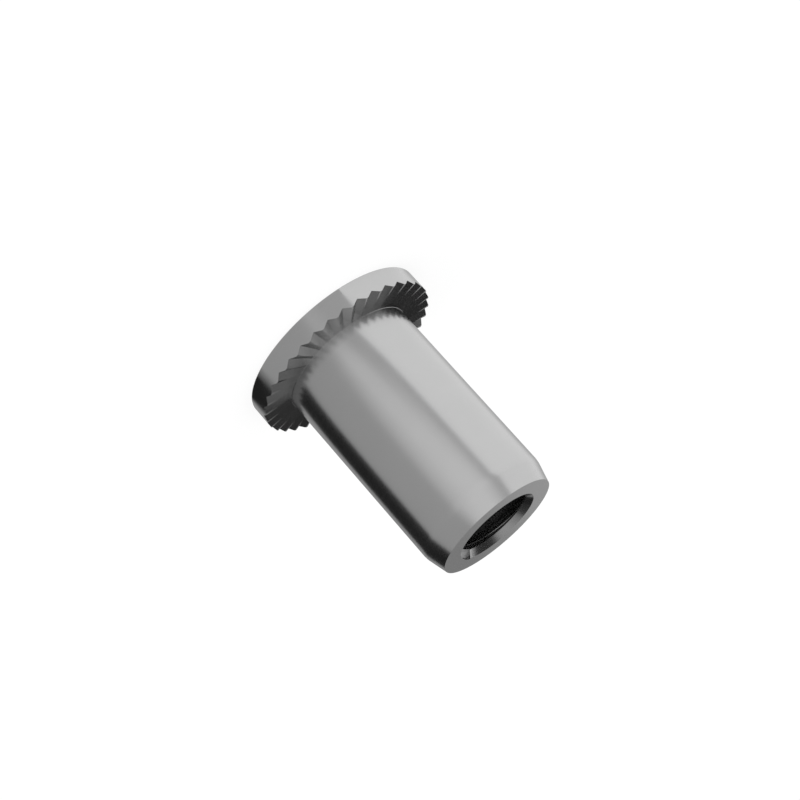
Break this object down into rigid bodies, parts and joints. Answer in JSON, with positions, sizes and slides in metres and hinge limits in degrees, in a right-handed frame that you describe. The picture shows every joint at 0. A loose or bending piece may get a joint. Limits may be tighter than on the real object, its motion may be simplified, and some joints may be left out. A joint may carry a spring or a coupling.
{
  "type": "rivet nut",
  "caption": "Blind rivet nut: flat round head with radial V teeth on its underside, plain shank, short tapered foot, and a stepped hole right through with the thread at the foot.",
  "frame": {"origin": "centre of the head's outer face, which the nut stands on", "axes": "+Z along the bore, from the head to the foot; a tooth valley lies on +X"},
  "size_m": [0.013, 0.013, 0.016],
  "materials": {
    "steel": "satin"
  },
  "bodies": {
    "root": {"rivet_nut": "steel"}
  },
  "joints": []
}
